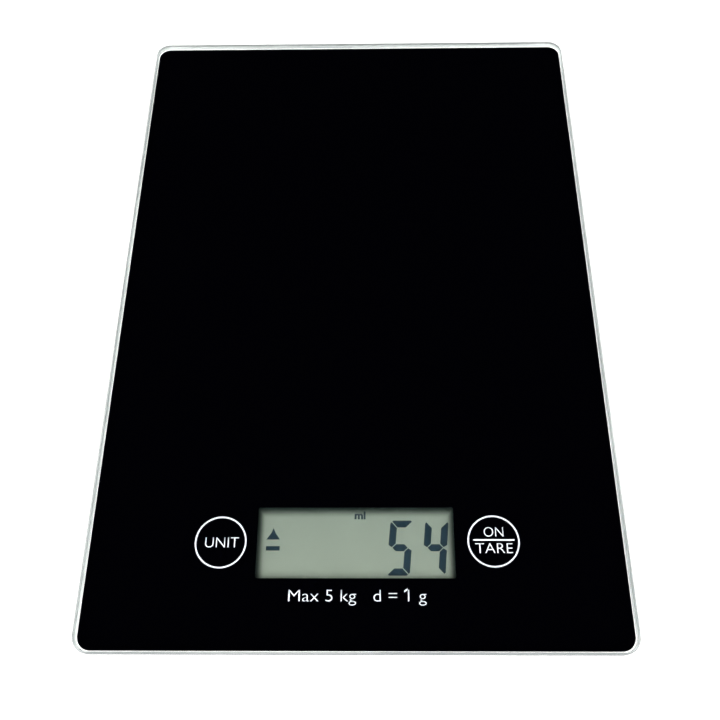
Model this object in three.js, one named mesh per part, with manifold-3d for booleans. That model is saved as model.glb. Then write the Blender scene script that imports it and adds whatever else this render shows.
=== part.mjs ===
// Slim glass kitchen scale on four load-cell feet. Millimetres, +Z up, display towards -Y.
// The origin lies on the surface the scale stands on, under the middle of the glass.
import * as THREE from "three";
import { mergeVertices } from "three/addons/utils/BufferGeometryUtils.js";
import Module from "manifold-3d";

const wasm = await Module();
wasm.setup();

// Driving dimensions: overall size, and the heights at which the layers start and end.
const WIDTH = 160;
const DEPTH = 230;
const HEIGHT = 16;
const GLASS_THICK = 4;
const GLASS_CORNER = 5;
const ARRIS = 0.6;
const GLASS_LOW = HEIGHT - GLASS_THICK;

const PRINT_MARGIN = { side: 0.8, end: 1.0 };
const PRINT_CORNER = 4.2;
const PRINT = { low: GLASS_LOW - 0.12, high: GLASS_LOW - 0.02 };
const WINDOW = { width: 58.7, depth: 21, corner: 0.4, y: -83.3 };
const KEY_X = 40.6;

const TAPE_WIDTH = 8;
const TAPE_THICK = 0.85;

const HOUSING = { width: 140, depth: 210, corner: 12, wall: 1.8 };
const FRAME = { low: 6.6, plate: 9.6, high: 11, lowInset: 0.9, cellSeat: 8 };
const LIP = { low: 5.6, inset: 3.4, thick: 1 };
const COVER = { low: 2.6, floor: 4.2, high: 6.35 };
const RUNNING_GAP = 0.3;

const FOOT = { x: 54.5, y: 89, padRadius: 8.5, cupRadius: 10, flangeRadius: 11 };
const FOOT_Z = { rim: 1, padTop: 1.8, web: 2.9, seat: 4.3, flange: 4.5, top: 5.3 };
const CELL = { side: 19, low: 6.8, tongue: 9.2, slot: 1.6 };
const SCREW_X = 61;
const SCREW_ROWS = [-60, 0, 62];
const BOSS = { radius: 3, pilot: 1.4, boardRadius: 2.4, boardPilot: 1.15 };
const RIB = { thick: 1.2, low: 8.4 };

const BOARD = { width: 88.4, front: -100, rear: -60, low: 5.3, high: 6.9 };
const BOARD_SCREWS = { x: 38, rows: [-96.5, -63] };
const LCD = { width: 66, depth: 28, ledge: 3.6, y: -84.2 };
const LCD_LAYERS = { reflector: 8.57, rearGlass: 8.79, frontGlass: 9.51, polariser: 10.23 };
const LEAD_Z = 7.5;

const WELL = { y: -38, radius: 14.3, pocket: 10.6, ceiling: 8.4, high: 9.3 };
const CELL_RADIUS = 10;
const CELL_LOW = 4.15;
const TWIST = { disc: 12.6, neckOut: 11.3, neckIn: 10.4, lug: 12.8, lugAngle: 30, open: 45 };
const TWIST_Z = { disc: 4, ledge: 4.8, lug: 4.9, top: 5.6 };

const SMOOTH = 40;
const ROUND = 28;
const SMALL = 12;
const ARC_STEPS = 6;
const OVERCUT = 1;
const MERGE = 0.1;

const finish = (color, roughness, metalness = 0) =>
  new THREE.MeshStandardMaterial({ color, roughness, metalness });
const FINISH = {
  glass: new THREE.MeshStandardMaterial({
    color: 0xdfe9e6,
    roughness: 0.03,
    metalness: 0,
    transparent: true,
    opacity: 0.35,
  }),
  enamel: finish(0x0a0a0b, 0.45),
  tape: finish(0x1a1a1a, 0.9),
  blackPlastic: finish(0x19191b, 0.55),
  rubber: finish(0x2b2b2d, 0.85),
  steel: finish(0xb9bcc0, 0.35, 1),
  zinc: finish(0x9aa0a6, 0.3, 1),
  spring: finish(0xc9c7bf, 0.28, 1),
  board: finish(0x1f5a34, 0.5),
  epoxy: finish(0x111111, 0.4),
  lcdFace: finish(0xaab3a2, 0.3),
  lcdGlass: finish(0xb7c2b4, 0.1),
  zebra: finish(0x3a3a3c, 0.8),
  whitePlastic: finish(0xe4e4e0, 0.5),
  gauge: finish(0xc98f3a, 0.5),
  wire: finish(0x777777, 0.5),
  redWire: finish(0xb3201c, 0.5),
  blackWire: finish(0x141414, 0.5),
};

const scale = new THREE.Group();

// Solids and booleans.

function toSolid(geometry) {
  const bare = geometry.index ? geometry.toNonIndexed() : geometry.clone();
  bare.deleteAttribute("normal");
  bare.deleteAttribute("uv");
  const merged = mergeVertices(bare, 1e-4);
  const vertProperties = merged.attributes.position.array;
  const triVerts = new Uint32Array(merged.index.array);
  return new wasm.Manifold(new wasm.Mesh({ numProp: 3, vertProperties, triVerts }));
}

function toGeometry(solid) {
  const mesh = solid.getMesh();
  const geometry = new THREE.BufferGeometry();
  const positions = Float32Array.from(mesh.vertProperties);
  geometry.setAttribute("position", new THREE.BufferAttribute(positions, 3));
  geometry.setIndex(new THREE.BufferAttribute(Uint32Array.from(mesh.triVerts), 1));
  geometry.computeVertexNormals();
  return geometry;
}

const join = (first, ...others) => others.reduce((sum, other) => sum.add(other), first);
const cut = (first, ...others) => others.reduce((rest, other) => rest.subtract(other), first);

function add(name, solid, material) {
  const mesh = new THREE.Mesh(toGeometry(solid), material);
  mesh.name = name;
  scale.add(mesh);
}

// Outlines and basic shapes.

function roundRect(width, depth, radius, x = 0, y = 0) {
  const shape = new THREE.Shape();
  const right = x + width / 2 - radius;
  const left = x - width / 2 + radius;
  const rear = y + depth / 2 - radius;
  const front = y - depth / 2 + radius;
  const quarter = Math.PI / 2;
  shape.absarc(right, rear, radius, 0, quarter);
  shape.absarc(left, rear, radius, quarter, 2 * quarter);
  shape.absarc(left, front, radius, 2 * quarter, 3 * quarter);
  shape.absarc(right, front, radius, 3 * quarter, 4 * quarter);
  return shape;
}

const housingOutline = (inset) =>
  roundRect(HOUSING.width - 2 * inset, HOUSING.depth - 2 * inset, HOUSING.corner - inset);

function slab(shape, low, high, curveSegments = 4) {
  const settings = { depth: high - low, bevelEnabled: false, curveSegments };
  const geometry = new THREE.ExtrudeGeometry(shape, settings);
  geometry.translate(0, 0, low);
  return toSolid(geometry);
}

function block(width, depth, low, high, x = 0, y = 0) {
  const geometry = new THREE.BoxGeometry(width, depth, high - low);
  geometry.translate(x, y, (low + high) / 2);
  return toSolid(geometry);
}

function disc(radius, low, high, x = 0, y = 0, sides = SMOOTH) {
  const geometry = new THREE.CylinderGeometry(radius, radius, high - low, sides);
  geometry.rotateX(Math.PI / 2);
  geometry.translate(x, y, (low + high) / 2);
  return toSolid(geometry);
}

// Turns a profile of [radius, height] pairs, listed bottom to top round the outside.
function turned(profile, x, y, sides = ROUND) {
  const points = profile.map(([radius, height]) => new THREE.Vector2(radius, height));
  const geometry = new THREE.LatheGeometry(points, sides);
  geometry.rotateX(Math.PI / 2);
  geometry.translate(x, y, 0);
  return toSolid(geometry);
}

// Joins housing outlines, given as [height, inset] pairs from the lowest up, into one tapered solid.
function taper(sections) {
  const rings = sections.map(([height, inset]) => {
    const outline = housingOutline(inset).getPoints(ARC_STEPS);
    outline.pop();
    return outline.map((point) => new THREE.Vector3(point.x, point.y, height));
  });
  const count = rings[0].length;
  const cap = THREE.ShapeUtils.triangulateShape(
    rings[0].map((point) => new THREE.Vector2(point.x, point.y)),
    [],
  );
  const top = (rings.length - 1) * count;
  const index = [];
  for (const [a, b, c] of cap) {
    index.push(a, c, b);
    index.push(top + a, top + b, top + c);
  }
  for (let ring = 0; ring < rings.length - 1; ring++) {
    for (let i = 0; i < count; i++) {
      const low = ring * count + i;
      const next = ring * count + ((i + 1) % count);
      index.push(low, next, next + count);
      index.push(low, next + count, low + count);
    }
  }
  const geometry = new THREE.BufferGeometry().setFromPoints(rings.flat());
  geometry.setIndex(index);
  return toSolid(geometry);
}

const corners = ["left", "right"].flatMap((side) =>
  ["front", "rear"].map((end) => ({
    name: end + "_" + side,
    x: side === "left" ? -FOOT.x : FOOT.x,
    y: end === "front" ? -FOOT.y : FOOT.y,
    side: side === "left" ? -1 : 1,
    end: end === "front" ? -1 : 1,
  })),
);

const screwPlaces = SCREW_ROWS.flatMap((y) => [-SCREW_X, SCREW_X].map((x) => ({ x, y })));
const boardScrewPlaces = BOARD_SCREWS.rows.flatMap((y) =>
  [-BOARD_SCREWS.x, BOARD_SCREWS.x].map((x) => ({ x, y })),
);

// Toughened glass platform with a ground arris round both faces.
function glassPlatform() {
  const geometry = new THREE.ExtrudeGeometry(roundRect(WIDTH, DEPTH, GLASS_CORNER), {
    depth: GLASS_THICK - 2 * ARRIS,
    bevelThickness: ARRIS,
    bevelSize: ARRIS,
    bevelOffset: -ARRIS,
    bevelSegments: 1,
    curveSegments: 8,
  });
  geometry.translate(0, 0, GLASS_LOW + ARRIS);
  return toSolid(geometry);
}

// Enamel coat fired on the back of the glass, with a clear window over the display.
function backPrint() {
  const shape = roundRect(
    WIDTH - 2 * PRINT_MARGIN.side,
    DEPTH - 2 * PRINT_MARGIN.end,
    PRINT_CORNER,
  );
  shape.holes.push(roundRect(WINDOW.width, WINDOW.depth, WINDOW.corner, 0, WINDOW.y));
  return slab(shape, PRINT.low, PRINT.high, ARC_STEPS);
}

function bondingTape() {
  const shape = housingOutline(1);
  shape.holes.push(housingOutline(1 + TAPE_WIDTH));
  return slab(shape, FRAME.high, FRAME.high + TAPE_THICK, ARC_STEPS);
}

// Upper moulding: a plate that the glass is bonded to, with a skirt, ribs, load-cell seats and bosses.
function upperFrame() {
  const outside = taper([
    [FRAME.low, FRAME.lowInset],
    [FRAME.high, 0],
  ]);
  const hollow = taper([
    [FRAME.low - OVERCUT, FRAME.lowInset + HOUSING.wall],
    [FRAME.plate, HOUSING.wall],
  ]);
  const lip = housingOutline(LIP.inset);
  lip.holes.push(housingOutline(LIP.inset + LIP.thick));
  const seats = corners.map(({ x, y }) => {
    const seat = roundRect(CELL.side + 1, CELL.side + 1, 2, x, y);
    seat.holes.push(roundRect(CELL.side - 4.5, CELL.side - 4.5, 1, x, y));
    return slab(seat, FRAME.cellSeat, FRAME.plate + MERGE, 1);
  });
  const bosses = screwPlaces.map(({ x, y }) =>
    disc(BOSS.radius, FRAME.low, FRAME.plate + MERGE, x, y, SMALL),
  );
  const boardBosses = boardScrewPlaces.map(({ x, y }) =>
    disc(BOSS.boardRadius, BOARD.high + 0.1, FRAME.plate + MERGE, x, y, SMALL),
  );
  const ribs = [
    ...[-30, 30].map((x) => block(RIB.thick, 150, RIB.low, FRAME.plate + MERGE, x, 24)),
    ...[-8, 32, 72].map((y) => block(100, RIB.thick, RIB.low, FRAME.plate + MERGE, 0, y)),
  ];
  const pilots = screwPlaces.map(({ x, y }) => disc(BOSS.pilot, 5, 9.4, x, y, SMALL));
  const boardPilots = boardScrewPlaces.map(({ x, y }) =>
    disc(BOSS.boardPilot, 6, 9.2, x, y, SMALL),
  );
  const lcdOpening = block(71, 33, 5, HEIGHT, 0, LCD.y);
  const keyOpenings = [-KEY_X, KEY_X].map((x) => disc(4.3, 5, HEIGHT, x, WINDOW.y, ROUND));
  return cut(
    join(
      cut(outside, hollow),
      slab(lip, LIP.low, FRAME.plate + MERGE, ARC_STEPS),
      ...seats,
      ...bosses,
      ...boardBosses,
      ...ribs,
    ),
    ...pilots,
    ...boardPilots,
    lcdOpening,
    ...keyOpenings,
  );
}

// A sector of a disc, used for the bayonet lugs and for the notches that let them in.
function sector(radius, middleDegrees, widthDegrees, low, high) {
  const start = THREE.MathUtils.degToRad(middleDegrees - widthDegrees / 2);
  const end = THREE.MathUtils.degToRad(middleDegrees + widthDegrees / 2);
  const shape = new THREE.Shape();
  shape.moveTo(0, WELL.y);
  shape.lineTo(radius * Math.cos(start), WELL.y + radius * Math.sin(start));
  shape.absarc(0, WELL.y, radius, start, end);
  return slab(shape, low, high, 2);
}

const lugAngles = [0, 120, 240];

// Lower moulding: a shallow tray with foot holes, screw posts and the battery well.
function bottomCover() {
  const outside = taper([
    [COVER.low, 4.2],
    [COVER.low + 0.35, 3.2],
    [COVER.low + 1.1, 2.2],
    [COVER.high, 1],
  ]);
  const hollow = taper([
    [COVER.floor, 2.4 + HOUSING.wall],
    [COVER.floor + 1.1, LIP.inset - 0.45],
    [COVER.high + OVERCUT, LIP.inset - 0.65],
  ]);
  const posts = screwPlaces.map(({ x, y }) => disc(4, COVER.low, COVER.high, x, y, ROUND));
  const cellPosts = corners.flatMap(({ x, y, side, end }) =>
    [
      [-9, -9],
      [-9, 9],
      [9, -9],
    ].map(([dx, dy]) => block(1.8, 1.8, COVER.low + 1, CELL.low, x + side * dx, y + end * dy)),
  );
  const well = disc(WELL.radius, COVER.low, WELL.high, 0, WELL.y);
  const footHoles = corners.map(({ x, y }) =>
    disc(FOOT.cupRadius + 0.5, 0, COVER.high + OVERCUT, x, y, SMOOTH),
  );
  const screwHoles = screwPlaces.flatMap(({ x, y }) => [
    disc(3.1, 0, COVER.low + 1.8, x, y, ROUND),
    disc(1.5, 0, COVER.high + OVERCUT, x, y, SMALL),
  ]);
  const wellCuts = [
    disc(TWIST.disc + RUNNING_GAP, 0, TWIST_Z.disc + MERGE, 0, WELL.y),
    disc(TWIST.neckOut + RUNNING_GAP, TWIST_Z.disc, TWIST_Z.ledge, 0, WELL.y),
    disc(TWIST.lug + RUNNING_GAP, TWIST_Z.ledge - MERGE, TWIST_Z.top + 0.2, 0, WELL.y),
    disc(WELL.pocket, TWIST_Z.top + MERGE, WELL.ceiling, 0, WELL.y),
    ...lugAngles.map((angle) =>
      sector(TWIST.lug + RUNNING_GAP, angle, TWIST.lugAngle + 6, TWIST_Z.disc, TWIST_Z.ledge),
    ),
    block(2 * WELL.radius + 4, 5.6, 7.3, WELL.ceiling - 0.2, 0, WELL.y),
  ];
  return cut(
    join(cut(outside, hollow), ...posts, ...cellPosts, well),
    ...footHoles,
    ...screwHoles,
    ...wellCuts,
  );
}

// Twist cap with three bayonet lugs, a ring that surrounds the cell, and a coin slot outside.
function batteryCover() {
  const { disc: radius, neckOut, neckIn, lug, lugAngle, open } = TWIST;
  const lugs = lugAngles.map((angle) =>
    sector(lug, angle + open, lugAngle, TWIST_Z.lug, TWIST_Z.top),
  );
  const cap = turned(
    [
      [0, COVER.low],
      [radius - 0.4, COVER.low],
      [radius, COVER.low + 0.4],
      [radius, TWIST_Z.disc],
      [0, TWIST_Z.disc],
    ],
    0,
    WELL.y,
    SMOOTH,
  );
  return cut(
    join(cap, disc(neckOut, TWIST_Z.disc - MERGE, TWIST_Z.top, 0, WELL.y), ...lugs),
    disc(neckIn, TWIST_Z.disc, TWIST_Z.top + OVERCUT, 0, WELL.y),
    block(15, 1.9, COVER.low - OVERCUT, COVER.low + 0.8, 0, WELL.y),
  );
}

// Coin cell, 20 mm across and 3.2 mm thick, with its wide can facing the cap.
function coinCell() {
  const low = CELL_LOW;
  const high = low + 3.2;
  return turned(
    [
      [0, low],
      [CELL_RADIUS - 0.3, low],
      [CELL_RADIUS, low + 0.3],
      [CELL_RADIUS, high - 0.6],
      [CELL_RADIUS - 0.5, high - 0.25],
      [CELL_RADIUS - 1.1, high - 0.25],
      [CELL_RADIUS - 1.3, high],
      [0, high],
    ],
    0,
    WELL.y,
    SMOOTH,
  );
}

// Spring-steel strips, 0.3 mm thick, whose tails leave the well through its two side slots.
function positiveContact() {
  const inner = CELL_RADIUS + 0.05;
  return join(
    block(0.3, 3.4, 5.9, 7.9, inner + 0.15, WELL.y),
    block(5.8, 5, 7.6, 7.9, inner + 2.9, WELL.y),
  );
}

function negativeContact() {
  const dimple = turned(
    [
      [0, 7.37],
      [1.2, 7.45],
      [2, 7.7],
      [0, 7.7],
    ],
    0,
    WELL.y,
    SMALL,
  );
  return join(block(22, 4, 7.6, 7.9, -4.85, WELL.y), dimple);
}

// Circuit board, notched at both sides so that the front feet can rise past it.
function circuitBoard() {
  const depth = BOARD.rear - BOARD.front;
  const board = roundRect(BOARD.width, depth, 1.5, 0, (BOARD.front + BOARD.rear) / 2);
  const holes = boardScrewPlaces.map(({ x, y }) => disc(1.3, 5, 7, x, y, SMALL));
  const notches = [-FOOT.x, FOOT.x].map((x) => disc(FOOT.flangeRadius + 0.5, 5, 7, x, -FOOT.y));
  return cut(slab(board, BOARD.low, BOARD.high, 2), ...holes, ...notches);
}

// Resin dome over the bonded chip, on the underside of the board.
function controllerChip() {
  return turned(
    [
      [0, 4.4],
      [2.6, 4.5],
      [4.4, 4.85],
      [5.2, BOARD.low - 0.02],
      [0, BOARD.low - 0.02],
    ],
    14,
    -84,
    ROUND,
  );
}

// Clip frame that stands on the board and holds the display glasses under a narrow lip.
function lcdFrame() {
  const outside = roundRect(LCD.width + 4, LCD.depth + 4, 1, 0, LCD.y);
  const body = slab(outside, BOARD.high + 0.05, 10.75, 2);
  const inside = block(LCD.width + 0.4, LCD.depth + 0.4, 6, 10.45, 0, LCD.y);
  const opening = block(LCD.width - 5, LCD.depth - 4.6, 6, HEIGHT, 0, LCD.y + 0.6);
  return cut(body, inside, opening);
}

function lcdLayer(low, thick, ledge = 0, inset = 0) {
  return block(
    LCD.width - 2 * inset,
    LCD.depth - ledge - 2 * inset,
    low,
    low + thick,
    0,
    LCD.y + ledge / 2,
  );
}

// Striped rubber connector between the board and the ledge of the front glass.
function zebraStrip() {
  const y = LCD.y - LCD.depth / 2 + 1.7;
  return block(60, 2, BOARD.high + 0.02, LCD_LAYERS.frontGlass - 0.02, 0, y);
}

// Compression spring that carries a touch key's signal from the board to the back of the glass.
class CoilPath extends THREE.Curve {
  constructor(radius, low, high, turns, x, y) {
    super();
    Object.assign(this, { radius, low, high, turns, x, y });
  }
  getPoint(t, target = new THREE.Vector3()) {
    const angle = 2 * Math.PI * this.turns * t;
    const rise = t - (0.9 / (2 * Math.PI)) * Math.sin(2 * Math.PI * t);
    const height = this.low + (this.high - this.low) * rise;
    return target.set(
      this.x + this.radius * Math.cos(angle),
      this.y + this.radius * Math.sin(angle),
      height,
    );
  }
}

// A regular polygon that stands for a wire's round section.
function ring(radius, sides) {
  const points = Array.from({ length: sides }, (_, i) => {
    const angle = (2 * Math.PI * i) / sides;
    return new THREE.Vector2(radius * Math.cos(angle), radius * Math.sin(angle));
  });
  return new THREE.Shape(points);
}

function sweep(path, outline, steps) {
  const settings = { steps, extrudePath: path, bevelEnabled: false, curveSegments: 1 };
  return toSolid(new THREE.ExtrudeGeometry(outline, settings));
}

function touchSpring(x) {
  const wire = 0.25;
  const section = ring(wire, 5);
  const low = BOARD.high + wire + 0.05;
  const high = PRINT.low - wire - 0.05;
  return sweep(new CoilPath(2.8, low, high, 5, x, WINDOW.y), section, 55);
}

// Stamped spring-steel load cell: a square rim and a tongue that the foot presses on.
function loadCell({ x, y }) {
  const plate = roundRect(CELL.side, CELL.side, 1.5, x, y);
  const inner = CELL.tongue / 2;
  const outer = inner + CELL.slot;
  const slot = new THREE.Path(
    [
      [-outer, -outer],
      [outer, -outer],
      [outer, outer],
      [inner, outer],
      [inner, -inner],
      [-inner, -inner],
      [-inner, outer],
      [-outer, outer],
    ].map(([dx, dy]) => new THREE.Vector2(x + dx, y + dy)),
  );
  plate.holes.push(slot);
  return slab(plate, CELL.low, FRAME.cellSeat, 2);
}

function strainGauge({ x, y }) {
  const shape = roundRect(5, 3.4, 0.6, x, y + 4.4);
  return slab(shape, FRAME.cellSeat + 0.02, FRAME.cellSeat + 0.3, 1);
}

function loadButton({ x, y }) {
  return turned(
    [
      [0, FOOT_Z.seat],
      [3, FOOT_Z.seat],
      [3, 5.9],
      [2.5, 6.4],
      [1.3, 6.72],
      [0, CELL.low],
    ],
    x,
    y,
    SMALL,
  );
}

// Foot cup: holds the pad below, runs in the cover's hole, and hangs on its flange when lifted.
function footCup({ x, y }) {
  return turned(
    [
      [0, FOOT_Z.padTop],
      [FOOT.padRadius + 0.2, FOOT_Z.padTop],
      [FOOT.padRadius + 0.2, FOOT_Z.rim],
      [FOOT.cupRadius - 0.5, FOOT_Z.rim],
      [FOOT.cupRadius, FOOT_Z.rim + 0.5],
      [FOOT.cupRadius, FOOT_Z.flange],
      [FOOT.flangeRadius, FOOT_Z.flange],
      [FOOT.flangeRadius, FOOT_Z.top],
      [8.6, FOOT_Z.top],
      [8.6, FOOT_Z.web],
      [4.8, FOOT_Z.web],
      [4.8, FOOT_Z.top],
      [3.2, FOOT_Z.top],
      [3.2, FOOT_Z.seat],
      [0, FOOT_Z.seat],
    ],
    x,
    y,
  );
}

function footPad({ x, y }) {
  return turned(
    [
      [0, 0],
      [FOOT.padRadius - 0.9, 0],
      [FOOT.padRadius - 0.2, 0.5],
      [FOOT.padRadius, 1.1],
      [FOOT.padRadius, FOOT_Z.padTop],
      [0, FOOT_Z.padTop],
    ],
    x,
    y,
  );
}

// Pan-head tapping screw with a cross recess, head down.
function screw({ x, y }, headRadius, shankRadius, headLow, headHigh, tip) {
  const body = turned(
    [
      [0, headLow],
      [headRadius - 0.6, headLow],
      [headRadius, headLow + 0.5],
      [headRadius, headHigh],
      [shankRadius, headHigh],
      [shankRadius, tip - 0.8],
      [0, tip],
    ],
    x,
    y,
    SMALL,
  );
  const slotHigh = headLow + (headHigh - headLow) * 0.6;
  return cut(
    body,
    block(headRadius, 0.6, headLow - OVERCUT, slotHigh, x, y),
    block(0.6, headRadius, headLow - OVERCUT, slotHigh, x, y),
  );
}

// A lead lies flat at one height, on a smooth curve through its [x, y] points.
function lead(points, outline, steps) {
  const path = new THREE.CatmullRomCurve3(
    points.map(([x, y]) => new THREE.Vector3(x, y, LEAD_Z)),
    false,
    "centripetal",
  );
  return sweep(path, outline, steps);
}

// Three-core ribbon from a load cell to the board. Its width lies across the floor.
function loadCellLead({ x, side, end }) {
  const ribbon = roundRect(0.9, 3, 0.4);
  const start = Math.abs(x) - CELL.side / 2 + 0.15;
  const rear = [
    [start - 0.5, 84],
    [36, 82],
    [27, 75],
    [24, 62],
    [24, -10],
    [24, -52],
    [24, -63],
  ];
  const front = [
    [52, -FOOT.y + CELL.side / 2 + 0.3],
    [52, -68],
    [48, -58.5],
    [40, -54.5],
    [33, -57],
    [31, -63],
  ];
  const route = (end > 0 ? rear : front).map(([px, py]) => [side * px, py]);
  return lead(route, ribbon, end > 0 ? 18 : 14);
}

function batteryLead(side) {
  const core = ring(0.55, 8);
  const route = [
    [16.15, WELL.y],
    [18.6, WELL.y - 1.6],
    [19.2, WELL.y - 7],
    [14.5, -57],
    [12, -64],
  ];
  return lead(
    route.map(([px, py]) => [side * px, py]),
    core,
    12,
  );
}

// Assembly, from the top down.
add("glass_platform", glassPlatform(), FINISH.glass);
add("back_print", backPrint(), FINISH.enamel);
add("bonding_tape", bondingTape(), FINISH.tape);
add("upper_frame", upperFrame(), FINISH.blackPlastic);
add("bottom_cover", bottomCover(), FINISH.blackPlastic);
add("battery_cover", batteryCover(), FINISH.blackPlastic);
add("coin_cell", coinCell(), FINISH.zinc);
add("battery_contact_positive", positiveContact(), FINISH.spring);
add("battery_contact_negative", negativeContact(), FINISH.spring);
add("battery_lead_positive", batteryLead(1), FINISH.redWire);
add("battery_lead_negative", batteryLead(-1), FINISH.blackWire);
add("circuit_board", circuitBoard(), FINISH.board);
add("controller_chip", controllerChip(), FINISH.epoxy);
add("lcd_frame", lcdFrame(), FINISH.whitePlastic);
add("lcd_polariser", lcdLayer(LCD_LAYERS.polariser, 0.2, 0, 1), FINISH.lcdFace);
add("lcd_front_glass", lcdLayer(LCD_LAYERS.frontGlass, 0.7), FINISH.lcdGlass);
add("lcd_rear_glass", lcdLayer(LCD_LAYERS.rearGlass, 0.7, LCD.ledge), FINISH.lcdGlass);
add("lcd_reflector", lcdLayer(LCD_LAYERS.reflector, 0.2, LCD.ledge, 0.5), FINISH.lcdFace);
add("zebra_strip", zebraStrip(), FINISH.zebra);
add("touch_spring_left", touchSpring(-KEY_X), FINISH.spring);
add("touch_spring_right", touchSpring(KEY_X), FINISH.spring);
for (const corner of corners) {
  add("load_cell_" + corner.name, loadCell(corner), FINISH.steel);
  add("strain_gauge_" + corner.name, strainGauge(corner), FINISH.gauge);
  add("load_cell_lead_" + corner.name, loadCellLead(corner), FINISH.wire);
  add("load_button_" + corner.name, loadButton(corner), FINISH.steel);
  add("foot_cup_" + corner.name, footCup(corner), FINISH.blackPlastic);
  add("foot_pad_" + corner.name, footPad(corner), FINISH.rubber);
}
screwPlaces.forEach((place, i) => {
  add("cover_screw_" + (i + 1), screw(place, 2.6, 1.2, 3, 4.38, 9.2), FINISH.zinc);
});
boardScrewPlaces.forEach((place, i) => {
  add("board_screw_" + (i + 1), screw(place, 2.1, 0.95, 4.35, 5.28, 8.9), FINISH.zinc);
});

export default scale;
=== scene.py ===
import math

import bmesh
import bpy
from mathutils import Euler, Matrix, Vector


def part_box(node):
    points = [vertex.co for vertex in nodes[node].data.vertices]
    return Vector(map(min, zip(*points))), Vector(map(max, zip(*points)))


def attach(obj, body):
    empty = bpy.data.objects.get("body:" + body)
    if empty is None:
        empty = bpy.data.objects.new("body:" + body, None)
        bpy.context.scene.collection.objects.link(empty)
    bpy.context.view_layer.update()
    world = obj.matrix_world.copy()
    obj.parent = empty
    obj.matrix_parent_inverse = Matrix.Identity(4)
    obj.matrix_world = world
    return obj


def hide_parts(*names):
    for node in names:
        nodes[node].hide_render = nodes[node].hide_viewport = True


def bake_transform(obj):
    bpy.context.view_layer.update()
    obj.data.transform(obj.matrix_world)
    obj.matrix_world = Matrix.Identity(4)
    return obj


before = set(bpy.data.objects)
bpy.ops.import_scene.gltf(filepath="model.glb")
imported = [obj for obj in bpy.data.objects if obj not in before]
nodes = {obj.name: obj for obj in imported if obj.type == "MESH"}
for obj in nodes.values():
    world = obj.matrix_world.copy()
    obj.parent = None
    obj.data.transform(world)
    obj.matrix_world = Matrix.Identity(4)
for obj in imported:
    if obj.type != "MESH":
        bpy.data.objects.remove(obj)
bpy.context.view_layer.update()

mm = 0.001
corners = ["front_left", "rear_left", "front_right", "rear_right"]

glassLow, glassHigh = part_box("glass_platform")
printLow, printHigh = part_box("back_print")
faceLow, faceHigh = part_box("lcd_polariser")


def say(text):
    print("scene:", text)


# small tools for modelling

def clearSelection():
    if bpy.context.object and bpy.context.object.mode != "OBJECT":
        bpy.ops.object.mode_set(mode="OBJECT")
    bpy.ops.object.select_all(action="DESELECT")


def pick(piece):
    clearSelection()
    piece.select_set(True)
    bpy.context.view_layer.objects.active = piece


def startPiece(name):
    # names the primitive just added and puts its size and place into its mesh
    piece = bpy.context.object
    piece.name = name
    bpy.ops.object.transform_apply(location=True, rotation=True, scale=True)
    return piece


def addBlock(name, low, high):
    clearSelection()
    low, high = Vector(low), Vector(high)
    bpy.ops.mesh.primitive_cube_add(size=1, location=(low + high) / 2, scale=high - low)
    return startPiece(name)


def selectInEdit(piece, kind, test):
    # enters edit mode with only the faces or edges that pass the test selected
    pick(piece)
    bpy.ops.object.mode_set(mode="EDIT")
    bpy.ops.mesh.select_mode(type=kind)
    bpy.ops.mesh.select_all(action="DESELECT")
    mesh = bmesh.from_edit_mesh(piece.data)
    for part in mesh.faces if kind == "FACE" else mesh.edges:
        if test(part):
            part.select_set(True)
    mesh.select_flush_mode()
    bmesh.update_edit_mesh(piece.data)


def leaveEdit():
    bpy.ops.object.mode_set(mode="OBJECT")


def everything(part):
    return True


def isUpright(edge):
    a, b = (v.co for v in edge.verts)
    return abs(a.z - b.z) > 0.9 * edge.calc_length()


def isRim(edge):
    # a sharp edge round the top or bottom of a block
    return not isUpright(edge) and edge.calc_face_angle(0) > 1


def isEdgeFace(face):
    # any face but the level ones
    return abs(face.normal.z) < 0.99


def bevelEdges(piece, test, width, segments):
    # width in mm
    selectInEdit(piece, "EDGE", test)
    bpy.ops.mesh.bevel(offset=width * mm, segments=segments, profile=0.5)
    leaveEdit()


def applyModifier(piece, kind, **settings):
    pick(piece)
    modifier = piece.modifiers.new(kind.lower(), kind)
    for key, value in settings.items():
        setattr(modifier, key, value)
    bpy.ops.object.modifier_apply(modifier=modifier.name)


def cutAway(piece, cutter):
    applyModifier(piece, "BOOLEAN", operation="DIFFERENCE", solver="EXACT", object=cutter)
    bpy.data.objects.remove(cutter)


def smooth(piece, degrees=30):
    pick(piece)
    bpy.ops.object.shade_smooth_by_angle(angle=math.radians(degrees))


def finish(piece, material, body, stands=()):
    piece.data.materials.clear()
    piece.data.materials.append(material)
    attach(piece, body)
    if stands:
        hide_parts(*stands)


# small tools for materials

def colour(code):
    # "#RRGGBB" in sRGB to linear red, green, blue, alpha
    parts = [int(code[i:i + 2], 16) / 255 for i in (1, 3, 5)]
    return [p / 12.92 if p <= 0.04045 else ((p + 0.055) / 1.055) ** 2.4 for p in parts] + [1]


def addNode(tree, kind, settings=None, **inputs):
    # settings are the node's own properties; inputs are numbers, colours or sockets to link, named
    # as on the node with _ for a space, or i0, i1 and so on by their place
    node = tree.nodes.new(kind)
    for key, value in (settings or {}).items():
        setattr(node, key, value)
    for key, value in inputs.items():
        socket = node.inputs[int(key[1:])] if key[1:].isdigit() else node.inputs[key.replace("_", " ")]
        if isinstance(value, bpy.types.NodeSocket):
            tree.links.new(value, socket)
        else:
            socket.default_value = value
    return node


def startMaterial(name, **inputs):
    material = bpy.data.materials.new(name)
    material.use_nodes = True
    tree = material.node_tree
    shader = tree.nodes["Principled BSDF"]
    for key, value in inputs.items():
        shader.inputs[key.replace("_", " ")].default_value = value
    return material, tree, shader


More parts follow.
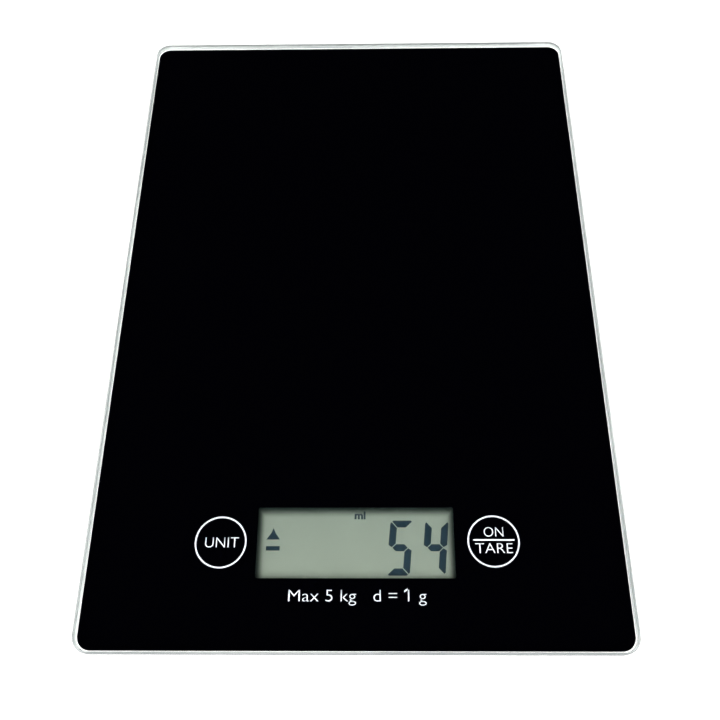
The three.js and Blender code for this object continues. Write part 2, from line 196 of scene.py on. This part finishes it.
def drive(tree, shader, **sources):
    # links patterns to the shader's inputs
    for key, source in sources.items():
        tree.links.new(source, shader.inputs[key.replace("_", " ")])


def objectPoint(tree):
    return addNode(tree, "ShaderNodeTexCoord").outputs["Object"]


def stretchPoint(tree, point, scale):
    return addNode(tree, "ShaderNodeMapping", None, Vector=point, Scale=scale).outputs[0]


def splitPoint(tree, point):
    return addNode(tree, "ShaderNodeSeparateXYZ", None, Vector=point).outputs


def noise(tree, point, scale, detail=2.0):
    # scale in noise cells in a metre
    return addNode(tree, "ShaderNodeTexNoise", None, Vector=point, Scale=scale, Detail=detail).outputs[0]


def calculate(tree, operation, *values):
    inputs = {"i%d" % i: value for i, value in enumerate(values)}
    return addNode(tree, "ShaderNodeMath", {"operation": operation}, **inputs).outputs[0]


def blendColours(tree, factor, first, second):
    node = addNode(tree, "ShaderNodeMix", {"data_type": "RGBA"}, Factor=factor)
    node.inputs[6].default_value = colour(first)
    node.inputs[7].default_value = colour(second)
    return node.outputs[2]


def spread(tree, value, low, high):
    # turns a 0 to 1 pattern into the range low to high
    return addNode(tree, "ShaderNodeMapRange", None, Value=value, To_Min=low, To_Max=high).outputs[0]


def ramp(tree, value, start, end):
    # 0 at start and 1 at end, in a straight line
    return addNode(tree, "ShaderNodeMapRange", None, Value=value, From_Min=start, From_Max=end).outputs[0]


def ease(tree, value, start, end, low=0.0, high=1.0):
    # low up to start, high from end on and a smooth turn between them
    settings = {"interpolation_type": "SMOOTHSTEP"}
    return addNode(tree, "ShaderNodeMapRange", settings, Value=value, From_Min=start, From_Max=end,
                   To_Min=low, To_Max=high).outputs[0]


def relief(tree, height, strength, depth):
    # depth in mm
    bump = addNode(tree, "ShaderNodeBump", None, Height=height, Strength=strength, Distance=depth * mm)
    return bump.outputs[0]


# camera, light and floor

camera = {
    "lens": 41.125,  # on a 36 mm wide sensor
    "place": (5.22, -139.04, 257.52),  # mm
    "turn": (25.365, 0.866, 0.212),  # degrees
    "near": 0.01,  # m
    "far": 20,
}


def makeCamera():
    data = bpy.data.cameras.new("camera")
    data.lens = camera["lens"]
    data.sensor_width = 36
    data.clip_start = camera["near"]
    data.clip_end = camera["far"]
    view = bpy.data.objects.new("camera", data)
    view.location = Vector(camera["place"]) * mm
    view.rotation_euler = Euler([math.radians(a) for a in camera["turn"]])
    bpy.context.scene.collection.objects.link(view)
    bpy.context.scene.camera = view


makeCamera()

studio = {
    "floor": "#F4F4F2",
    "floorPale": "#F7F7F5",
    "floorClouds": 4.0,  # in a metre
    "floorSize": 1.7,  # m
    "boxes": [  # place in m, size in m, watts: two side boxes and one in front
        ((-1.25, -0.5, 1.2), (1.2, 0.9), 37),
        ((1.25, -0.5, 1.2), (1.2, 0.9), 37),
        ((0.0, -1.6, 1.2), (1.6, 0.8), 33),
    ],
    "horizon": 0.85,  # brightness of the pale room near the horizon
    "ceiling": 0.002,  # and of the unlit ceiling over the table
    "horizonEnds": 0.30,  # height at which the room starts to darken, straight up being 1
    "ceilingStarts": 0.58,
}


def makeRoom():
    world = bpy.data.worlds.new("room")
    world.use_nodes = True
    tree = world.node_tree
    background = tree.nodes["Background"]
    direction = addNode(tree, "ShaderNodeTexCoord").outputs["Generated"]
    height = splitPoint(tree, direction)["Z"]
    bright = ease(tree, height, studio["horizonEnds"], studio["ceilingStarts"],
                  studio["horizon"], studio["ceiling"])
    background.inputs["Color"].default_value = (1, 1, 1, 1)
    tree.links.new(bright, background.inputs["Strength"])
    bpy.context.scene.world = world


def makeLights():
    for i, (place, size, power) in enumerate(studio["boxes"]):
        data = bpy.data.lights.new("softBox%d" % (i + 1), "AREA")
        data.shape = "RECTANGLE"
        data.size, data.size_y = size
        data.energy = power
        lamp = bpy.data.objects.new(data.name, data)
        lamp.location = place
        lamp.rotation_euler = (-Vector(place)).to_track_quat("-Z", "Y").to_euler()
        bpy.context.scene.collection.objects.link(lamp)


def makeFloor():
    material, tree, shader = startMaterial("matt paper floor", Roughness=0.9)
    clouds = noise(tree, objectPoint(tree), studio["floorClouds"])
    drive(tree, shader, Base_Color=blendColours(tree, clouds, studio["floor"], studio["floorPale"]))
    clearSelection()
    bpy.ops.mesh.primitive_plane_add(size=studio["floorSize"])
    floor = startPiece("floor")
    floor.data.materials.append(material)


makeRoom()
makeLights()
makeFloor()
view = bpy.context.scene.view_settings
view.view_transform = "Standard"
view.look = "None"
say("camera, room and floor ready")


# glass platform

glass = {
    "corner": 5.0,  # mm
    "cornerSteps": 16,
    "arris": 0.6,
    "arrisSteps": 3,
    "smoothAngle": 35,  # degrees
    "flatWeight": 90,  # weight of the large faces in the shading of their rims, 50 being neutral
    "ior": 1.52,
    "tint": "#FBFDFC",
    "edgeTint": "#C9CFCD",
    "edgeRoughness": 0.25,
    "edgeClear": 0.6,  # share of the ground edge that still lets light through
    "ripple": 300,  # noise cells in a metre
    "edgeStreak": "#39444A",  # darker streaks along the ground edge, and the painted reflection along its front
    "streakShare": 0.45,
    "streakCells": (14, 14, 450),  # in a metre: long along the edge and fine up it
    "streakRange": (0.38, 0.64),  # noise values at which a streak begins and is full
    "frontDepth": 1.5,  # mm behind the front that the painted reflection, a darker line along the front edge, reaches
    "lineStart": 0.2,  # mm below the top at which that line begins
    "frontLine": 0.5,  # and at which it is full
    "lineClear": 0.2,  # share of it that still lets light through
}


def startGlass(name, tint, roughness, clearness):
    # float glass; light from a lamp passes straight through, so what lies under it is lit
    material, tree, shader = startMaterial(
        name, Roughness=roughness, IOR=glass["ior"], Transmission_Weight=clearness)
    shader.inputs["Base Color"].default_value = colour(tint)
    clear = addNode(tree, "ShaderNodeBsdfTransparent", None, Color=colour(tint)).outputs[0]
    shadow = addNode(tree, "ShaderNodeLightPath").outputs["Is Shadow Ray"]
    both = addNode(tree, "ShaderNodeMixShader", None, Fac=shadow, i1=shader.outputs[0], i2=clear)
    tree.links.new(both.outputs[0], tree.nodes["Material Output"].inputs["Surface"])
    return material, tree, shader


def polishedGlass():
    # mirror smooth and clear with a faint green cast
    return startGlass("float glass, polished faces", glass["tint"], 0.0, 1.0)[0]


def groundGlass():
    # silvery satin, with long streaks that follow the wheel marks under a fine ripple, and a painted
    # reflection of the dark housing along the front edge
    material, tree, shader = startGlass(
        "float glass, ground edge", glass["edgeTint"], glass["edgeRoughness"], glass["edgeClear"])
    point = objectPoint(tree)
    marks = noise(tree, stretchPoint(tree, point, glass["streakCells"]), 1.0, 3.0)
    streak = ease(tree, marks, *glass["streakRange"], 0.0, glass["streakShare"])
    # painted reflection: a darker line along the front edge stands for the dark housing seen in it
    _, y, z = splitPoint(tree, point)
    ahead = calculate(tree, "LESS_THAN", y, glassLow.y + glass["frontDepth"] * mm)
    deep = ramp(tree, z, glassHigh.z - glass["lineStart"] * mm, glassHigh.z - glass["frontLine"] * mm)
    line = calculate(tree, "MULTIPLY", ahead, deep)
    dark = calculate(tree, "MAXIMUM", streak, line)
    drive(tree, shader,
          Base_Color=blendColours(tree, dark, glass["edgeTint"], glass["edgeStreak"]),
          Specular_IOR_Level=spread(tree, dark, 0.5, 0.05),
          Transmission_Weight=spread(tree, line, glass["edgeClear"], glass["lineClear"]),
          Normal=relief(tree, noise(tree, point, glass["ripple"]), 0.2, 0.2))
    return material


def makeGlass():
    piece = addBlock("platformGlass", glassLow, glassHigh)
    bevelEdges(piece, isUpright, glass["corner"], glass["cornerSteps"])
    bevelEdges(piece, isRim, glass["arris"], glass["arrisSteps"])
    finish(piece, polishedGlass(), "scale_body", ["glass_platform"])
    piece.data.materials.append(groundGlass())
    selectInEdit(piece, "FACE", isEdgeFace)
    piece.active_material_index = 1
    bpy.ops.object.material_slot_assign()
    leaveEdit()
    smooth(piece, glass["smoothAngle"])
    applyModifier(piece, "WEIGHTED_NORMAL", weight=glass["flatWeight"])


makeGlass()
say("glass platform ready")


# enamel print on the back of the glass

enamel = {
    "corner": 4.2,  # mm
    "cornerSteps": 14,
    "thick": 0.05,
    "overlap": 0.03,  # mm that the black reaches into the glass, and the white ink above the black
    "window": (58.7, 21.0),  # mm, over the display
    "windowCorner": 0.4,
    "windowSteps": 5,
    "windowY": -83.3,
    "black": "#000001",
    "blackGrain": "#010102",
    "white": "#C4C7CD",
    "whiteGrain": "#BBBEC5",
}
enamelTop = glassLow.z + enamel["overlap"] * mm
inkTop = enamelTop + enamel["overlap"] * mm


def blackEnamel():
    # glass enamel, screen printed and fired: dense black with a soft sheen on its open side
    material, tree, shader = startMaterial("black glass enamel, screen printed", IOR=1.5)
    grain = noise(tree, objectPoint(tree), 1200.0, 3.0)
    # fused to the glass above, so only the open side below has a sheen
    normal = addNode(tree, "ShaderNodeNewGeometry").outputs["True Normal"]
    up = splitPoint(tree, normal)["Z"]
    drive(tree, shader,
          Base_Color=blendColours(tree, grain, enamel["black"], enamel["blackGrain"]),
          Roughness=spread(tree, grain, 0.42, 0.6),
          Specular_IOR_Level=calculate(tree, "LESS_THAN", up, 0.5))
    return material


def whiteEnamel():
    # the same in an even grey-white with a very fine grain
    material, tree, shader = startMaterial("white glass enamel, screen printed", Roughness=0.5, IOR=1.5)
    grain = noise(tree, objectPoint(tree), 3000.0)
    drive(tree, shader, Base_Color=blendColours(tree, grain, enamel["white"], enamel["whiteGrain"]))
    return material


def makeEnamel():
    low = (printLow.x, printLow.y, enamelTop - enamel["thick"] * mm)
    high = (printHigh.x, printHigh.y, enamelTop)
    piece = addBlock("backEnamel", low, high)
    bevelEdges(piece, isUpright, enamel["corner"], enamel["cornerSteps"])
    width, depth = enamel["window"]
    middle = Vector((0, enamel["windowY"] * mm, enamelTop))
    half = Vector((width / 2 * mm, depth / 2 * mm, mm))
    window = addBlock("window", middle - half, middle + half)
    bevelEdges(window, isUpright, enamel["windowCorner"], enamel["windowSteps"])
    cutAway(piece, window)
    smooth(piece)
    finish(piece, blackEnamel(), "scale_body", ["back_print"])


makeEnamel()

legends = {
    "rings": {"keyRingLeft": (-40.2, -83.25), "keyRingRight": (40.95, -82.95)},  # mm
    "ringRadius": 7.5,
    "ringSteps": 128,
    "line": 0.45,
    "ink": 0.02,
    # words, middle x, base y, height of the capitals and width of the whole
    "words": {
        "legendOn": ("ON", 41.1, -81.6, 3.1, 5.8),
        "legendTare": ("TARE", 41.0, -86.5, 3.2, 11.0),
        "legendUnit": ("UNIT", -39.8, -84.85, 3.3, 10.0),
        "legendRange": ("Max 5 kg   d = 1 g", 0.6, -100.4, 3.6, 40.0),
    },
    "weight": -0.012,  # added to the strokes of the built-in letters, as a share of their size
    "capHeight": 0.729,  # of the built-in letters, as a share of their size
    "letterSteps": 6,  # per curve
    "divider": (34.95, 47.2, -82.8, -82.37),  # left, right, front and rear
    "dividerCorner": 0.2,
    "dividerSteps": 3,
    # flag of the figure one, which the built-in letters leave out
    "flag": [(14.2, -97.8), (15.15, -97.2), (15.15, -96.75), (14.95, -96.75), (14.2, -97.3)],
}

def thicken(piece, thick):
    applyModifier(piece, "SOLIDIFY", thickness=thick, offset=1)
    return piece


def addRing(name, x, y, low, thick):
    outer, inner = (legends["ringRadius"] + side * legends["line"] / 2 for side in (1, -1))
    middle = (x * mm, y * mm, low)
    clearSelection()
    bpy.ops.mesh.primitive_circle_add(vertices=legends["ringSteps"], radius=outer * mm, location=middle)
    piece = startPiece(name)
    selectInEdit(piece, "EDGE", everything)
    bpy.ops.mesh.extrude_edges_move()
    bpy.ops.transform.resize(value=(inner / outer, inner / outer, 1), center_override=middle)
    bpy.ops.mesh.select_all(action="SELECT")
    bpy.ops.mesh.normals_make_consistent(inside=False)
    leaveEdit()
    return thicken(piece, thick)


def addText(name, words, x, y, height, width, low, thick, weight):
    # printed or displayed characters, as wide as asked, centred on x and standing on the line y
    clearSelection()
    bpy.ops.object.text_add(location=(0, 0, 0))
    text = bpy.context.object
    text.name = name
    text.data.body = words
    text.data.size = 1
    text.data.offset = weight
    text.data.resolution_u = legends["letterSteps"]
    bpy.ops.object.convert(target="MESH")
    piece = bpy.context.object
    across = [v.co.x for v in piece.data.vertices]
    wide = width * mm / (max(across) - min(across))
    tall = height * mm / legends["capHeight"]
    piece.location = (x * mm - wide * (max(across) + min(across)) / 2, y * mm, low)
    piece.scale = (wide, tall, 1)
    bpy.ops.object.transform_apply(location=True, rotation=True, scale=True)
    return thicken(piece, thick)


def addOutline(name, points, low, thick):
    # a flat shape with the given corners, in mm, anticlockwise
    clearSelection()
    bpy.ops.mesh.primitive_circle_add(
        vertices=len(points), radius=mm, fill_type="NGON", location=(0, 0, 0))
    piece = startPiece(name)
    for vertex, (x, y) in zip(piece.data.vertices, points):
        vertex.co = (x * mm, y * mm, low)
    selectInEdit(piece, "FACE", everything)
    bpy.ops.mesh.normals_make_consistent(inside=False)
    leaveEdit()
    return thicken(piece, thick)


def makeLegends():
    white = whiteEnamel()
    thick = legends["ink"] * mm
    low = inkTop - thick
    for name, (x, y) in legends["rings"].items():
        finish(addRing(name, x, y, low, thick), white, "scale_body")
    left, right, front, rear = (v * mm for v in legends["divider"])
    bar = addBlock("keyDivider", (left, front, low), (right, rear, low + thick))
    bevelEdges(bar, isUpright, legends["dividerCorner"], legends["dividerSteps"])
    finish(bar, white, "scale_body")
    finish(addOutline("legendFlag", legends["flag"], low, thick), white, "scale_body")
    for name, (words, x, y, height, width) in legends["words"].items():
        piece = addText(name, words, x, y, height, width, low, thick, legends["weight"])
        finish(piece, white, "scale_body")


makeLegends()
say("enamel and legends ready")


# display

display = {
    "filmLow": "#62685F",  # at the front of the panel
    "filmHigh": "#5A6159",  # at its rear, darker there as painted shade
    "filmShade": "#101816",
    "filmCells": (900, 9000, 900),  # in a metre: brush marks that run across the panel
    "brushing": 0.05,
    "shadeRear": 2.8,  # mm, dark band along the window's rear edge
    "shadeSide": 2.2,
    "shadePast": 0.2,  # mm past the window's edge at which the bands are full
    "segment": "#0D191F",
    "segmentGrain": "#122129",
    "digitHeight": 16.4,  # mm
    "digitWidth": 7.0,
    "digitPitch": 10.5,
    "stroke": 2.1,
    "gap": 0.18,
    "cut": 0.9,  # mm taken off the outer corners
    "slant": 0.096,  # sideways shift per unit of height
    "baseY": -92.75,
    "firstX": 8.95,
    "lift": 0.01,  # mm from the film to the figures
    "ink": 0.02,
    "unit": ("ml", 1.3, -75.85, 2.35, 3.3),  # word, middle x, base y, height and width as for the legends
    "unitWeight": 0.035,
    # arrowhead, narrower at the waist, over a dash; all in mm but the share
    "mark": {"x": -24.75, "half": 2.05, "tip": -78.6, "waistDrop": 1.6, "waistShare": 0.33,
             "base": -82.1, "dashRear": -84.1, "dashFront": -85.4},
}
segmentPlan = {"5": "acdfg", "4": "bcfg"}


def filmMaterial():
    # reflective liquid crystal panel: grey-green polarising film over a brushed foil reflector
    material, tree, shader = startMaterial(
        "polarising film over foil reflector", Roughness=0.38, IOR=1.49, Specular_IOR_Level=0.15)
    point = objectPoint(tree)
    x, y, _ = splitPoint(tree, point)
    # painted shade: the film darkens from front to rear, towards the shaded rear edge of the recess
    rise = ramp(tree, y, faceLow.y, faceHigh.y)
    base = blendColours(tree, rise, display["filmLow"], display["filmHigh"])
    grain = noise(tree, stretchPoint(tree, point, display["filmCells"]), 1.0)
    brushed = {"data_type": "RGBA", "blend_type": "MULTIPLY"}
    tone = addNode(tree, "ShaderNodeMix", brushed, Factor=display["brushing"])
    tree.links.new(base, tone.inputs[6])
    tree.links.new(grain, tone.inputs[7])
    # the panel lies in a dark recess, so its rear and side edges are in shade
    width, depth = (v * mm for v in enamel["window"])
    rear = enamel["windowY"] * mm + depth / 2
    past = display["shadePast"] * mm
    off = calculate(tree, "ABSOLUTE", x)
    side = ease(tree, off, width / 2 - display["shadeSide"] * mm, width / 2 + past)
    back = ease(tree, y, rear - display["shadeRear"] * mm, rear + past)
    edge = calculate(tree, "MAXIMUM", side, back)
    shaded = addNode(tree, "ShaderNodeMix", {"data_type": "RGBA"}, Factor=edge)
    tree.links.new(tone.outputs[2], shaded.inputs[6])
    shaded.inputs[7].default_value = colour(display["filmShade"])
    drive(tree, shader, Base_Color=shaded.outputs[2])
    return material


def segmentMaterial():
    # liquid crystal that holds the light back: nearly black with a blue cast
    material, tree, shader = startMaterial(
        "liquid crystal, switched on", Roughness=0.4, IOR=1.5, Specular_IOR_Level=0.15)
    grain = noise(tree, objectPoint(tree), 2500.0)
    drive(tree, shader, Base_Color=blendColours(tree, grain, display["segment"], display["segmentGrain"]))
    return material


def joinPieces(pieces, name):
    clearSelection()
    for piece in pieces:
        piece.select_set(True)
    bpy.context.view_layer.objects.active = pieces[0]
    bpy.ops.object.join()
    pieces[0].name = name
    return pieces[0]


def segmentCorners(key):
    # corners of one of the seven bars, mitred where it meets its neighbours
    width, height = display["digitWidth"], display["digitHeight"]
    stroke, g, cut = display["stroke"], display["gap"], display["cut"]
    half, mid = stroke / 2, height / 2
    if key in "ad":
        left = [(cut, height), ((cut + g) / 2, height - (cut - g) / 2), (stroke + g, height - stroke)]
        outer = left + [(width - x, y) for x, y in left[::-1]]
    elif key == "g":
        outer = [(half + g, mid), (stroke + g, mid - half), (width - stroke - g, mid - half),
                 (width - half - g, mid), (width - stroke - g, mid + half), (stroke + g, mid + half)]
    else:
        outer = [((cut - g) / 2, height - (cut + g) / 2), (0, height - cut), (0, mid + half * 0.6 + g),
                 (half, mid + g), (stroke, mid + half + g), (stroke, height - stroke - g)]
    if key in "bc":
        outer = [(width - x, y) for x, y in outer]
    if key in "cde":
        outer = [(x, height - y) for x, y in outer]
    return outer[::-1] if key in "bde" else outer


def addDigit(name, figure, x, low, thick):
    slant, baseY = display["slant"], display["baseY"]
    bars = []
    for key in segmentPlan[figure]:
        places = [(x + px + slant * py, baseY + py) for px, py in segmentCorners(key)]
        bars.append(addOutline(name + key, places, low, thick))
    return joinPieces(bars, name)


def addZeroMark(low, thick):
    # small arrowhead over a dash: the stable-reading mark
    mark = display["mark"]
    x, half, base, rear, front = (mark[key] for key in ("x", "half", "base", "dashRear", "dashFront"))
    waist, narrow = mark["tip"] - mark["waistDrop"], half * mark["waistShare"]
    arrow = addOutline("arrow", [(x, mark["tip"]), (x - narrow, waist), (x - half, base),
                                 (x + half, base), (x + narrow, waist)], low, thick)
    dash = addOutline("dash", [(x - half, rear), (x - half, front), (x + half, front), (x + half, rear)],
                      low, thick)
    return joinPieces([arrow, dash], "zeroMark")


def makeDisplay():
    film = filmMaterial()
    for name in ("lcd_polariser", "lcd_reflector"):
        nodes[name].data.materials.clear()
        nodes[name].data.materials.append(film)
    low, thick = faceHigh.z + display["lift"] * mm, display["ink"] * mm
    dark = segmentMaterial()
    x = display["firstX"]
    finish(addDigit("digitFive", "5", x, low, thick), dark, "scale_body")
    finish(addDigit("digitFour", "4", x + display["digitPitch"], low, thick), dark, "scale_body")
    unit = addText("unitMark", *display["unit"], low, thick, display["unitWeight"])
    finish(unit, dark, "scale_body")
    finish(addZeroMark(low, thick), dark, "scale_body")


makeDisplay()
say("display ready")


# plastics, metals and rubber of the body

shades = {
    "blackCase": ("#17171A", "#1D1D20"),
    "blackFoot": ("#151517", "#1B1B1D"),
    "whiteFrame": ("#D6D6D1", "#DEDED9"),
    "rubber": ("#242426", "#303032"),
    "steel": ("#A8ABB0", "#C2C5C9"),
    "nickel": ("#B9B5AB", "#CFCBC1"),
    "zinc": ("#8E959C", "#AEB4BA"),
    "mask": ("#144A28", "#1F6A3A"),
    "resin": ("#0C0C0D", "#141415"),
    "tape": ("#121213", "#1E1E20"),
    "zebra": ("#1B1B1D", "#B9B4AC"),
    "gauge": ("#A8651F", "#5E3511"),
    "cellGlass": ("#9FAF9F", "#8FA192"),
    "leadGrey": ("#6C6C6E", "#7C7C7E"),
    "leadRed": ("#8F1713", "#A8201B"),
    "leadBlack": ("#111113", "#1A1A1C"),
}


def mottled(name, pair, size, roughness, metallic=0.0, ior=1.5, depth=0.0, stretch=(1, 1, 1)):
    # two close shades mixed by noise of the given grain size in mm, with matching roughness and,
    # where a depth in mm is given, relief
    material, tree, shader = startMaterial(name, IOR=ior, Metallic=metallic)
    grain = noise(tree, stretchPoint(tree, objectPoint(tree), stretch), 1 / (size * mm), 3.0)
    drive(tree, shader,
          Base_Color=blendColours(tree, grain, *pair),
          Roughness=spread(tree, grain, *roughness))
    if depth:
        drive(tree, shader, Normal=relief(tree, grain, 0.6, depth))
    return material


def striped(name, pair, pitch, roughness):
    # even stripes with the given pitch in mm; the texture turns through 20 radians in a metre
    material, tree, shader = startMaterial(name, Roughness=roughness)
    wave = addNode(tree, "ShaderNodeTexWave", None, Vector=objectPoint(tree),
                   Scale=2 * math.pi / 20 / (pitch * mm), Distortion=0.0).outputs[1]
    drive(tree, shader, Base_Color=blendColours(tree, wave, *pair))
    return material


def boardMaterial():
    # green solder mask over copper: tracks show as paler, slightly higher lines
    material, tree, shader = startMaterial(
        "green solder mask over glass laminate", Roughness=0.35, IOR=1.52)
    layout = {"offset": 0.35, "squash": 0.6, "squash_frequency": 3}
    tracks = addNode(tree, "ShaderNodeTexBrick", layout, Vector=objectPoint(tree), Scale=95.0,
                     Mortar_Size=0.012, Mortar_Smooth=0.3, Brick_Width=0.9, Row_Height=0.24).outputs["Fac"]
    drive(tree, shader,
          Base_Color=blendColours(tree, tracks, *shades["mask"]),
          Normal=relief(tree, tracks, 0.5, 0.04))
    return material


def makeFinishes():
    case = mottled("black ABS, moulded against spark-eroded steel", shades["blackCase"], 0.35,
                   (0.42, 0.58), depth=0.012)
    foot = mottled("black ABS, moulded, fine grain", shades["blackFoot"], 0.2, (0.4, 0.5), depth=0.006)
    white = mottled("white ABS, moulded", shades["whiteFrame"], 1.5, (0.38, 0.5))
    rubber = mottled("moulded rubber, matt", shades["rubber"], 0.3, (0.75, 0.9), depth=0.01)
    steel = mottled("stamped steel, nickel plated", shades["steel"], 1.2, (0.26, 0.4), 1.0,
                    stretch=(1, 0.12, 1))
    nickel = mottled("spring steel, bright nickel plate", shades["nickel"], 0.8, (0.18, 0.3), 1.0)
    zinc = mottled("carbon steel, bright zinc plate", shades["zinc"], 0.5, (0.22, 0.38), 1.0)
    resin = mottled("cast epoxy resin", shades["resin"], 2.0, (0.25, 0.4), ior=1.55)
    tape = mottled("closed-cell foam tape", shades["tape"], 0.5, (0.85, 0.95), depth=0.03)
    glassy = mottled("indium-coated display glass", shades["cellGlass"], 6.0, (0.06, 0.1), ior=1.52)
    zebra = striped("layered conductive silicone", shades["zebra"], 0.4, 0.7)
    gauge = striped("strain gauge foil under clear sealant", shades["gauge"], 0.5, 0.3)
    grey, red, black = (
        mottled("PVC insulation, " + tone, shades["lead" + tone.capitalize()], 0.6, (0.4, 0.5))
        for tone in ("grey", "red", "black"))
    # start of the node names, and the material they share; the longest start that fits counts
    table = {
        "upper_frame": case,
        "bottom_cover": case,
        "battery_cover": foot,
        "foot_cup": foot,
        "foot_pad": rubber,
        "bonding_tape": tape,
        "coin_cell": nickel,
        "battery_contact": nickel,
        "battery_lead_positive": red,
        "battery_lead_negative": black,
        "circuit_board": boardMaterial(),
        "controller_chip": resin,
        "lcd_frame": white,
        "lcd_front_glass": glassy,
        "lcd_rear_glass": glassy,
        "zebra_strip": zebra,
        "touch_spring": nickel,
        "load_cell": steel,
        "load_cell_lead": grey,
        "load_button": steel,
        "strain_gauge": gauge,
        "cover_screw": zinc,
        "board_screw": zinc,
    }
    for name, node in nodes.items():
        starts = [start for start in table if name.startswith(start)]
        if starts:
            node.data.materials.clear()
            node.data.materials.append(table[max(starts, key=len)])


makeFinishes()
say("finishes ready")


def makeLoadCells():
    # each steel plate is replaced by a copy of its mesh, merged and smooth shaded
    for corner in corners:
        plate = nodes["load_cell_" + corner]
        cell = bpy.data.objects.new("bendingCell_" + corner, plate.data.copy())
        cell.data.transform(plate.matrix_world)
        bpy.context.scene.collection.objects.link(cell)
        selectInEdit(cell, "FACE", everything)
        bpy.ops.mesh.remove_doubles(threshold=0.001 * mm)
        bpy.ops.mesh.normals_make_consistent(inside=False)
        leaveEdit()
        smooth(cell)
        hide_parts("load_cell_" + corner)
        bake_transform(cell)


makeLoadCells()
say("load cells ready")
